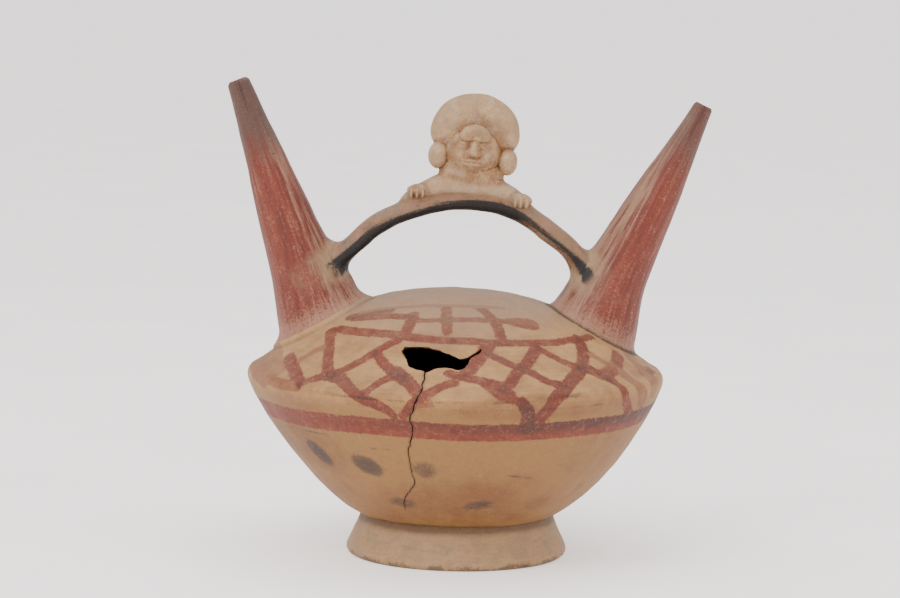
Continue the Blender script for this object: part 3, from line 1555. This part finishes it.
    def spout_colour(self, b: Board, place: Shade, grain: Shade) -> Shade:
        """Colour the spouts: red slip streaked lengthwise, smoky towards the tip and along the inner
        side, rubbed pale near the root.

        Args:
            b: the nodes to add to.
            place: places in millimetres.
            grain: places on the spout, drawn out lengthwise.

        Returns:
            The colour.
        """
        streak = b.noise(grain, 0.42, 5, 0.62)
        fine = b.noise(grain, 1.5, 3, 0.6)
        mottle = b.noise(place, 0.1, 3, 0.6)
        grit = b.noise(place, 1.1, 3, 0.65)
        red = b.mix((streak * 0.7 + fine * 0.4).step(0.38, 0.7), self.brick, self.ember)
        thick = (b.noise(grain, 0.7, 3, 0.6) + (fine - 0.5) * 0.5).step(0.56, 0.72)
        red = b.mix(thick * 0.6, red, self.purple)
        pale = (streak * 0.5 + grit * 0.5 + mottle * 0.25).step(0.62, 0.78)
        red = b.mix(pale * 0.55, red, self.rose)
        ashen = (b.attribute("shine") + (streak - 0.5) * 2.6 + (fine - 0.5) * 1.4).step(0.5, 1.25)
        red = b.mix(ashen * 0.7, red, self.dust)
        grey = (b.attribute("smoky") + (streak - 0.5) * 1.6 + (mottle - 0.5) * 0.6).step(0.3, 1.15)
        red = b.mix(grey * 0.8, red, self.smoke)
        root = (b.attribute("off_body") + (mottle - 0.5) * 14).step(17, 2)
        rubbed = (grit * 0.6 + fine * 0.4 + root * 0.16).step(0.5, 0.66) * root
        red = b.mix(rubbed * 0.8, red, b.mix(0.45, self.rose, self.dust))
        buff = (b.attribute("off_strap") + (mottle - 0.5) * 8 + (streak - 0.5) * 8).step(7.5, 1.0)
        red = b.mix(buff * 0.8, red, self.ash)
        ring = (b.attribute("ring") + (grit - 0.5) * 0.5).step(0.5, 0.15)
        return b.mix(ring * 0.7, red, self.shadow)

    def strap_colour(self, b: Board, place: Shade, grain: Shade) -> Shade:
        """Colour the bridge: buff clay with traces of red.

        Args:
            b: the nodes to add to.
            place: places in millimetres.
            grain: places along the strap, drawn out lengthwise.

        Returns:
            The colour.
        """
        mottle = b.noise(place, 0.12, 3, 0.6)
        streak = b.noise(grain, 0.5, 4, 0.65)
        grit = b.noise(place, 1.1, 3, 0.65)
        buff = b.mix(mottle.step(0.35, 0.7) * 0.6, self.drab, self.tan)
        traces = (b.noise(place, 0.16, 3, 0.6) + (streak - 0.5) * 0.6).step(0.46, 0.6)
        buff = b.mix(traces * 0.4, buff, self.rose)
        sooty = (b.noise(place, 0.2, 3, 0.6) + (grit - 0.5) * 0.5).step(0.52, 0.7)
        return b.mix(sooty * 0.45, buff, self.smoke)

    def with_stripe(self, b: Board, skin: Shade, place: Shade, grain: Shade) -> Shade:
        """Draw the black stripe of the bridge with a dry brush.

        Args:
            b: the nodes to add to.
            skin: the colour below.
            place: places in millimetres.
            grain: places along the strap, drawn out lengthwise.

        Returns:
            The colour.
        """
        brush, grit = b.noise(grain, 0.6, 4, 0.7), b.noise(place, 1.1, 3, 0.65)
        line = (b.attribute("stripe") + (brush - 0.5) * 4.4 + (grit - 0.5) * 2.4).step(-0.7, 1.1)
        sooty = b.mix((brush * 0.6 + grit * 0.5).step(0.5, 0.75) * 0.3, self.soot, self.smoke)
        near = b.attribute("strap").step(-5.0, -2.5) * (1 - b.attribute("bust"))
        return b.mix(line * near, skin, sooty)

    def bust_colour(self, b: Board, place: Shade) -> Shade:
        """Colour the bust: cream worn to tan, with brown in its hollows.

        Args:
            b: the nodes to add to.
            place: places in millimetres.

        Returns:
            The colour.
        """
        mottle = b.noise(place, 0.16, 4, 0.6)
        grit = b.noise(place, 1.0, 3, 0.65)
        skin = b.mix((mottle * 0.8 + grit * 0.3).step(0.4, 0.66), self.buff, self.tan)
        stain = b.noise(place, 0.3, 4, 0.65)
        skin = b.mix((stain * 0.7 + grit * 0.35).step(0.44, 0.62) * 0.55, skin, self.drab)
        lap = (b.attribute("off_strap") + (stain - 0.5) * 5).step(5.5, 1.0)
        skin = b.mix(lap * 0.5, skin, self.drab)
        brown = (b.attribute("hollow") * 2.2 + stain * 0.9 + grit * 0.25).step(0.7, 1.2)
        skin = b.mix(brown * 0.75, skin, self.toast)
        grimy = (b.noise(place, 0.42, 5, 0.75) + (grit - 0.5) * 0.4).step(0.5, 0.66)
        skin = b.mix(grimy * 0.4, skin, self.toast)
        worn = (b.attribute("hollow") * -1.6 + (grit - 0.5) * 0.8).step(0.1, 0.8)
        return b.mix(worn * 0.3, skin, self.bloom)

    def with_wear(self, b: Board, skin: Shade, place: Shade, level: Shade, grit: Shade) -> Shade:
        """Darken joints, hollows, the foot's edge, scratches and the crack, and lay dust and specks
        over everything.

        Args:
            b: the nodes to add to.
            skin: the colour below.
            place: places in millimetres.
            level: heights in millimetres.
            grit: fine noise.

        Returns:
            The colour.
        """
        joint = (b.attribute("joint") + (grit - 0.5) * 1.4).step(2.1, 0.6) * b.attribute("seam")
        skin = b.mix(joint * 0.85, skin, self.shadow)
        dirt = (b.attribute("hollow") + (grit - 0.5) * 0.4).step(0.3, 1.1)
        skin = b.mix(dirt * 0.55, skin, self.shadow)
        chips = (b.noise(place, 0.16, 3, 0.7) - 0.5) * 11
        ground = (level + (grit - 0.5) * 3 + chips).step(2.8, 0.2) * level.step(6.5, 3.0)
        skin = b.mix(ground * 0.6, skin, self.shadow)
        skin = b.mix(self.dusty(b, place), skin, self.dust)
        faint = b.noise(place, 0.1, 2).step(0.32, 0.6)
        scuff = (b.attribute("scuff") + (grit - 0.5) * 1.6).step(1.1, 0.2) * faint
        off_body = (1 - b.attribute("bust")) * (1 - self.on_spout(b, grit))
        skin = b.mix(scuff * off_body * 0.62, skin, self.shadow)
        beside = (b.attribute("crack") + (grit - 0.5) * 1.5).step(1.9, 0.6)
        skin = b.mix(beside * 0.35, skin, self.shadow)
        fine = b.noise(place, 3.2, 2, 0.6)
        grime = (b.noise(place, 0.4, 5, 0.75) * 0.6 + fine * 0.4).step(0.5, 0.68)
        skin = b.mix(grime * 0.22, skin, self.shadow)
        bright = (b.noise(place, 0.55, 4, 0.7) * 0.6 + grit * 0.4).step(0.54, 0.7)
        return b.mix(bright * 0.16, skin, self.bloom)

    @staticmethod
    def dusty(b: Board, place: Shade) -> Shade:
        """Tell how much dust lies there: some on what faces up, in clouds."""
        clouds = b.noise(place, 0.06, 4, 0.65).step(0.38, 0.68)
        return b.attribute("upward").step(0.5, 0.98) * clouds * 0.2

    @staticmethod
    def on_spout(b: Board, grit: Shade) -> Shade:
        """Tell what is on a spout, with a ragged limit."""
        return (b.attribute("spout") + (grit - 0.5) * 0.4).step(-0.25, 0.25)

    def material(self) -> bpy.types.Material:
        """Build the material from the attributes of the mesh.

        Returns:
            The material.
        """
        b = Board("slipped_earthenware")
        here = b.node("ShaderNodeTexCoord", {}, {}, "Object")
        place = b.node("ShaderNodeVectorMath", {"operation": "SCALE"}, {0: here, "Scale": 1 / MM})
        level = b.node("ShaderNodeSeparateXYZ", {}, {0: place}, 2)
        grain = b.vector("grain")
        grit = b.noise(place, 0.9, 3, 0.65)
        fine = b.noise(place, 3.2, 2, 0.6)
        on_spout, on_bust = self.on_spout(b, grit), b.attribute("bust")
        on_strap = (b.attribute("strap") + (b.noise(place, 0.3, 3, 0.6) - 0.5) * 3).step(-0.8, 0.8)
        colour = self.body_colour(b, place, level)
        colour = b.mix(on_spout, colour, self.spout_colour(b, place, grain))
        colour = b.mix(on_strap, colour, self.strap_colour(b, place, grain))
        colour = b.mix(on_bust, colour, self.bust_colour(b, place))
        colour = self.with_wear(b, colour, place, level, grit)
        colour = self.with_stripe(b, colour, place, grain)
        pit = b.noise(place, 1.3, 2, 0.6).step(0.68, 0.76)
        colour = b.mix(pit * 0.35, colour, self.shadow)
        raw = (b.attribute("buried") + (grit - 0.5) * 0.3).step(0.35, 0.8)
        broken = b.mix((fine * 0.5 + grit * 0.5).step(0.35, 0.65), self.clay, self.tan)
        inside = b.attribute("buried").step(4.2, 6.0)
        colour = b.mix(raw, colour, b.mix(inside, broken, self.shadow))
        rough = 0.62 + self.dusty(b, place) * 0.4 + raw * 0.3 - on_spout * 0.1 + (grit - 0.5) * 0.18
        height = b.noise(place, 0.09, 3, 0.55) * 0.55 + grit * 0.16 + fine * 0.05 - pit * 0.14
        height = height + on_spout * b.noise(grain, 0.9, 3, 0.6) * 0.3
        height = height + on_bust * (b.noise(place, 0.5, 4, 0.65) * 0.55 + grit * 0.15)
        height = height + raw * b.noise(place, 0.7, 4, 0.7) * 1.2
        bump = b.node("ShaderNodeBump", {}, {"Strength": 1.0, "Distance": MM, "Height": height})
        inputs = {"Base Color": colour, "Roughness": rough.least(0.95), "Normal": bump}
        return b.surfaced({**inputs, "Specular IOR Level": 0.36})


@dataclass
class Vessel:
    """The whole vessel.

    Attributes:
        body, spouts, bridge, bust, breakage: what it is made of, and what broke.
        pattern, finish: how it is painted, and its colours.
        root_smear, crook_smear, lap_smear: how much the clay is smoothed in one turn where spouts
            meet the body (left and right), where the bridge meets them, and under the bust.
        smooth_turns: how many turns of smoothing there are.
        face_smooth, bust_smooth: the smoothing of the face and of the rest of the bust.
        face_half, face_front: how wide the face is, and how far forward it begins.
        smoke_reach: how far down the spouts' tips smoke fades out, and is full.
        pale_turn: degrees from the inner side at which a spout is rubbed pale.
        ring_down: how far below the left lip the ring crack is.
    """

    body: Body
    spouts: Tuple[Spout, Spout]
    bridge: Bridge
    bust: Bust
    breakage: Breakage
    pattern: PaintedPattern
    finish: EarthenwareFinish
    root_smear: Pair = (0.5, 0.12)
    crook_smear: float = 0.35
    lap_smear: float = 0.3
    smooth_turns: int = 36
    face_smooth: float = 0.008
    bust_smooth: float = 0.06
    face_half: float = 12.5
    face_front: float = -4.0
    smoke_reach: Pair = (62.0, 14.0)
    pale_turn: float = 32.0
    ring_down: float = 39.5
    node: str = "vessel"
    slot: str = "painted_earthenware"

    def skin(self) -> Shape:
        """Join the parts, smear the joints, and hollow and break the whole.

        Returns:
            The vessel's skin, closed, in millimetres.
        """
        added = [*[spout.blank() for spout in self.spouts], self.bridge.blank(), *self.bust.parts()]
        whole = worked(self.body.blank(), added, Joining.ADD)
        log.info("joined: %d triangles", len(whole.faces))
        whole = whole.relaxed(self.smearing(whole.points), self.smooth_turns)
        whole.points += whole.normals() * self.swell(whole.points)[:, None]
        cut = [self.body.hollow(), *[spout.bore() for spout in self.spouts]]
        cut += [self.breakage.hole(), self.breakage.slit(), *self.breakage.bites()]
        whole = worked(whole, cut, Joining.CUT)
        log.info("hollowed and broken: %d triangles", len(whole.faces))
        return whole

    def distances(self, points: Array) -> Tuple[Array, Array, Array]:
        """Measure how far points are off the body, off the nearer spout and off the bridge."""
        spout = np.minimum(*[spout.locate(points)[2] for spout in self.spouts])
        return self.body.locate(points)[2], spout, self.bridge.locate(points)[2]

    def in_bust(self, points: Array) -> Array:
        """Tell which points may be of the bust: those near the crown and above the strap."""
        reach = 0.95 * self.bust.size
        floor = self.body.height + self.bridge.rise - 0.42 * self.bust.size
        return (np.abs(points[:, 0] - self.bust.x) < reach) & (points[:, 2] > floor)

    def smearing(self, points: Array) -> Array:
        """Say how much the skin is smoothed: most where two parts meet, a little on the bust.

        Args:
            points: the joined skin's points.

        Returns:
            Weights from 0 to 1.
        """
        body, spout, strap = (np.abs(off) for off in self.distances(points))
        root = smoothstep(body + spout, 4.5, 0.8)
        crook = smoothstep(spout + strap, 6.0, 1.0)
        lap = smoothstep(strap, 2.5, 0.5) * self.in_bust(points)
        left, right = self.root_smear
        weight = np.maximum(root * np.where(points[:, 0] > 0, right, left), crook * self.crook_smear)
        chin = self.body.height + self.bridge.rise + self.bust.rise
        level = (points[:, 2] - chin) / self.bust.size
        face = np.abs(points[:, 0] - self.bust.x - 1.0) < self.face_half
        face &= (points[:, 2] > chin - 0.3) & (points[:, 1] < self.face_front)
        soft = np.where(face, self.face_smooth, self.bust_smooth)
        soft = soft + 0.16 * smoothstep(level, 0.02, -0.12)
        soft = np.where(level < -0.15, 0.04, soft)
        return np.maximum(weight, soft * self.in_bust(points) + self.lap_smear * lap)

    @staticmethod
    def swell(points: Array) -> Array:
        """Say how far the skin of a hand-built pot stands out from the true shape: long swells and
        small dents, and none at the foot's edge."""
        long, short = ripple(points, (38, 95), 18, SEED + 2), ripple(points, (9, 22), 26, SEED + 3)
        return (0.3 * long + 0.1 * short) * smoothstep(points[:, 2], 0.0, 3.0)

    def attributes(self, shape: Shape) -> Dict[str, Array]:
        """Work out what the finish reads at each point.

        Args:
            shape: the finished skin, in millimetres.

        Returns:
            By name, a number or a vector for each point.
        """
        points = shape.points
        way, angle, off_body = self.body.locate(points)
        places = [spout.locate(points) for spout in self.spouts]
        nearer = places[0][2] < places[1][2]
        down, turn, off_spout = (np.where(nearer, first, second) for first, second in zip(*places))
        share, up, off_strap = self.bridge.locate(points)
        off_both = np.minimum(off_body, off_spout)
        skirt = np.where(nearer, self.spouts[0].skirt, self.spouts[1].skirt)
        bust = smoothstep(off_strap, 0.4, 1.4) * self.in_bust(points)
        soft = shape.relaxed(np.ones(len(points)), 10).points
        bend = np.einsum("ij,ij->i", soft - points, shape.normals())
        buried = self.swell(points) - np.minimum(off_both, off_strap)
        facing = np.cos(turn - math.radians(self.pale_turn))
        smoky = np.where(nearer, 1.25, 0.85) * smoothstep(down, *self.smoke_reach)
        shine = np.where(nearer, 0.85, 1.0) * smoothstep(facing, 0.4, 1.0)
        shine *= smoothstep(down, np.where(nearer, 8, -8), np.where(nearer, 30, 10))
        stripe = self.bridge.stripe(share, up, points[:, 1])
        on_strap = off_strap < off_spout
        along = np.where(on_strap, share * self.bridge.length, down + 300.0 * nearer)
        first = np.where(on_strap, up * 2.0, 14 * np.cos(turn))
        second = np.where(on_strap, points[:, 1] * 0.5, 14 * np.sin(turn))
        grain = np.stack([first, second, along * 0.06], axis=1)
        ring = np.abs(down - self.ring_down - 0.8 * np.sin(3 * turn))
        ring = ring + 9.0 * (~nearer | (np.sin(turn) < -0.2))
        return {
            **self.pattern.slip(way, angle),
            **self.pattern.scratched(way, angle, self.breakage),
            "blot": self.pattern.stained(self.pattern.blots, way, angle),
            "toast": self.pattern.stained(self.pattern.toasted, way, angle),
            "spout": np.clip(off_body - off_spout, -6, 6),
            "strap": np.clip(off_both - off_strap, -9, 9),
            "off_body": np.clip(off_body, 0, 60),
            "off_strap": np.clip(off_strap, -9, 40),
            "bust": bust,
            "joint": np.clip(np.hypot(off_body, off_spout - skirt), 0, 9),
            "seam": np.where(points[:, 0] > 0, 1.0, 0.25),
            "smoky": smoky,
            "shine": shine,
            "turned": np.stack([way, 6 * np.sin(angle), 6 * np.cos(angle)], axis=1),
            "stripe": np.clip(stripe, -9, 9),
            "hollow": np.clip(bend, -2, 2),
            "upward": shape.normals()[:, 2],
            "buried": np.clip(buried, 0, 9),
            "grain": grain,
            "ring": np.clip(ring, 0, 9),
        }

    def build(self) -> bpy.types.Object:
        """Make the finished piece, in metres, in the place of its CAD node.

        Returns:
            The object.
        """
        shape = self.skin()
        found = self.attributes(shape)
        low, high = (np.array(corner) for corner in CAD_BOX)
        metres = np.clip((shape.points + [AXIS_X, 0, 0]) * MM, low + 2e-5, high - 2e-5)
        metres[:, 2] = np.where(shape.points[:, 2] < 0.02, low[2], metres[:, 2])
        piece = as_object(Shape(metres, shape.faces), "vessel_clay")
        mesh = piece.data
        for name, values in found.items():
            kind, key = ("FLOAT_VECTOR", "vector") if values.ndim == 2 else ("FLOAT", "value")
            layer = mesh.attributes.new(name, kind, "POINT")
            layer.data.foreach_set(key, values.astype(np.float32).ravel())
        mesh.polygons.foreach_set("use_smooth", np.ones(len(mesh.polygons), bool))
        mesh.set_sharp_from_angle(angle=math.radians(42))
        mesh.materials.append(self.finish.material())
        mesh.update()
        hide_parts(self.node)
        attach(piece, "root")
        log.info("%s: %d triangles", piece.name, len(mesh.polygons))
        return piece


@dataclass
class Studio:
    """Plain pale floor, soft light, and the camera.

    Attributes:
        camera_place: where the camera stands, from the foot's middle, in millimetres.
        camera_down, camera_roll: degrees by which it looks down and is rolled.
        lens: its focal length for a sensor 36 mm wide.
        floor_half: half the floor's side, in metres.
        floor_glow: how much light the floor gives off.
        sky_strength: how bright the sky is.
        lamps: name, place, aim, side in metres and power in watts.
    """

    camera_place: Tuple[float, float, float] = (-5.20, -1576.90, 298.81)
    camera_down: float = 6.224
    camera_roll: float = 1.0
    lens: float = 128.0
    floor_half: float = 30.0
    floor_glow: float = 0.62
    sky_strength: float = 1.45
    lamps: Sequence[Tuple[str, Sequence[float], Sequence[float], float, float]] = (
        ("key", (-0.9, -1.3, 1.5), (0, 0, 0.1), 1.0, 26.0),
        ("fill", (1.4, -1.2, 0.9), (0, 0, 0.1), 1.2, 5.0),
        ("top", (0.1, -0.1, 1.9), (0, 0, 0), 1.4, 12.0),
    )

    def plain(self, name: str, colour: Colour, glow: float) -> bpy.types.Material:
        """Make a matt material of one colour, with a little grain.

        Args:
            name: its name.
            colour: its colour.
            glow: how much light it gives off.

        Returns:
            The material.
        """
        b = Board(name)
        place = b.node("ShaderNodeTexCoord", {}, {}, "Object")
        grain = b.noise(place, 9.0, 4, 0.6)
        darker = tuple(part * 0.94 for part in colour[:3]) + (1.0,)
        tint = b.mix(grain.step(0.3, 0.7), colour, darker)
        matt = {"Base Color": tint, "Roughness": 0.9}
        return b.surfaced({**matt, "Emission Color": colour, "Emission Strength": glow})

    def floor(self) -> bpy.types.Object:
        """Lay a level floor that fills the picture up to its top edge."""
        half = self.floor_half
        corners = [(-half, -half, 0), (half, -half, 0), (half, half, 0), (-half, half, 0)]
        mesh = bpy.data.meshes.new("floor")
        mesh.from_pydata(corners, [], [(0, 1, 2, 3)])
        mesh.materials.append(self.plain("pale_floor", paint(248, 242, 238), self.floor_glow))
        made = bpy.data.objects.new("floor", mesh)
        bpy.context.scene.collection.objects.link(made)
        return made

    @staticmethod
    def lamp(
        name: str, place: Sequence[float], aim: Sequence[float], size: float, power: float
    ) -> None:
        """Hang a square soft light.

        Args:
            name: its name.
            place: where it hangs, in metres.
            aim: what it points at.
            size: the length of its side.
            power: its power in watts.
        """
        data = bpy.data.lights.new(name, "AREA")
        data.shape = "SQUARE"
        data.size = size
        data.energy = power
        made = bpy.data.objects.new(name, data)
        made.location = place
        made.rotation_euler = (Vector(aim) - Vector(place)).to_track_quat("-Z", "Y").to_euler()
        bpy.context.scene.collection.objects.link(made)

    def light(self) -> None:
        """Light the stage: a pale sky, a wide key from the upper left and a weak fill."""
        world = bpy.data.worlds.new("sky")
        world.use_nodes = True
        shade = world.node_tree.nodes["Background"]
        shade.inputs[0].default_value = paint(246, 246, 250)
        shade.inputs[1].default_value = self.sky_strength
        bpy.context.scene.world = world
        for settings in self.lamps:
            self.lamp(*settings)

    def camera(self) -> bpy.types.Object:
        """Set up the camera from its place, how far it looks down, and its roll."""
        down, roll = math.radians(self.camera_down), math.radians(self.camera_roll)
        ahead = Vector((0, math.cos(down), -math.sin(down)))
        below = Vector((0, -math.sin(down), -math.cos(down)))
        right = Vector((math.cos(roll), 0, 0)) - below * math.sin(roll)
        under = Vector((math.sin(roll), 0, 0)) + below * math.cos(roll)
        data = bpy.data.cameras.new("camera")
        data.lens = self.lens
        data.sensor_width = 36.0
        data.clip_end = 100.0
        made = bpy.data.objects.new("camera", data)
        turn = Matrix((right, -under, -ahead)).transposed()
        place = Vector(self.camera_place) + Vector((AXIS_X, 0, 0))
        made.matrix_world = Matrix.Translation(place * MM) @ turn.to_4x4()
        bpy.context.scene.collection.objects.link(made)
        bpy.context.scene.camera = made
        return made


def main() -> None:
    """Build the vessel and the studio."""
    logging.basicConfig(level=logging.INFO, format="%(name)s: %(message)s")
    studio = Studio()
    studio.camera()
    studio.light()
    studio.floor()
    body = Body()
    spouts = (
        Spout(
            side=Side.LEFT, seat=65.4, tilt=20.3, length=124.2,
            tip_radius=5.05, taper=0.1195, bow=1.0, flare=2.2,
            fin=(
                (-16, 21.6), (1, 23.5), (8.9, 20.6), (17.1, 19.9), (22, 23.1), (26, 30.5), (29, 27),
                (31.5, 19.5), (33.5, 15.5), (38, 11), (43, 7),
            ),
            skirt=4.2, skirt_height=6.5, groove=0.0, body=body,
        ),
        Spout(
            side=Side.RIGHT, seat=66.8, tilt=26.6, length=122.0,
            tip_radius=4.85, taper=0.1254, bow=3.2, flare=2.8,
            fin=(
                (-17, 17.9), (-0.7, 19.9), (8.8, 16.5), (15.3, 17.4), (19.6, 22.8), (23, 31), (25, 29),
                (27.5, 21), (30, 15.5), (35, 11), (41, 7),
            ),
            skirt=1.7, skirt_height=3.4, groove=0.55, body=body,
        ),
    )
    bridge = Bridge(spouts)
    breakage, pattern = Breakage(body, spouts), PaintedPattern(body)
    vessel = Vessel(body, spouts, bridge, Bust(bridge), breakage, pattern, EarthenwareFinish())
    vessel.build()


if __name__ == "__main__":
    main()
